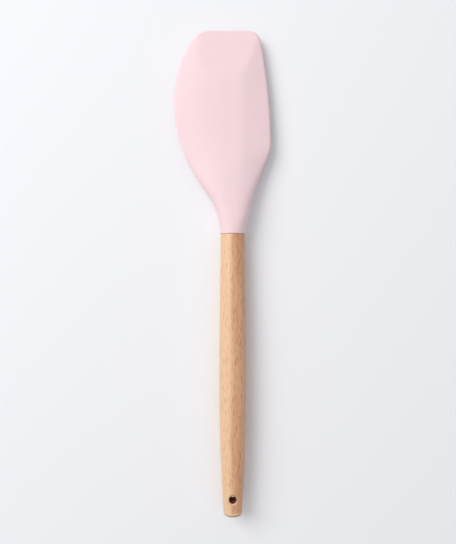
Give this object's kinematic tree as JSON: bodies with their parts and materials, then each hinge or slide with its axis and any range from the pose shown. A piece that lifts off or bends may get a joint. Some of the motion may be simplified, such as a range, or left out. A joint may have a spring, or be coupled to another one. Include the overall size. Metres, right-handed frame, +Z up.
{
  "type": "silicone spatula",
  "caption": "Scraping spatula with a soft lopsided silicone blade on a stiff inner core that pulls off a turned wooden handle with a hanging hole.",
  "frame": {"origin": "middle of the hanging hole, on the axis of the handle", "axes": "+Y along the handle to the tip of the blade, +Z up out of the blade's upper face and along the hanging hole, +X to the straight edge of the blade; the spatula lies flat"},
  "size_m": [0.0632, 0.3154, 0.0176],
  "materials": {
    "beech": "fine sanded, lightly oiled",
    "pink_silicone": "satin",
    "nylon": "matt, as moulded"
  },
  "bodies": {
    "handle": {"wooden_handle": "beech"},
    "head": {"silicone_head": "pink_silicone", "head_core": "nylon"}
  },
  "joints": [
    {"name": "head_pull", "type": "slide", "parent": "handle", "child": "head", "axis": [0, 1, 0], "range_m": [0, 0.045]}
  ]
}
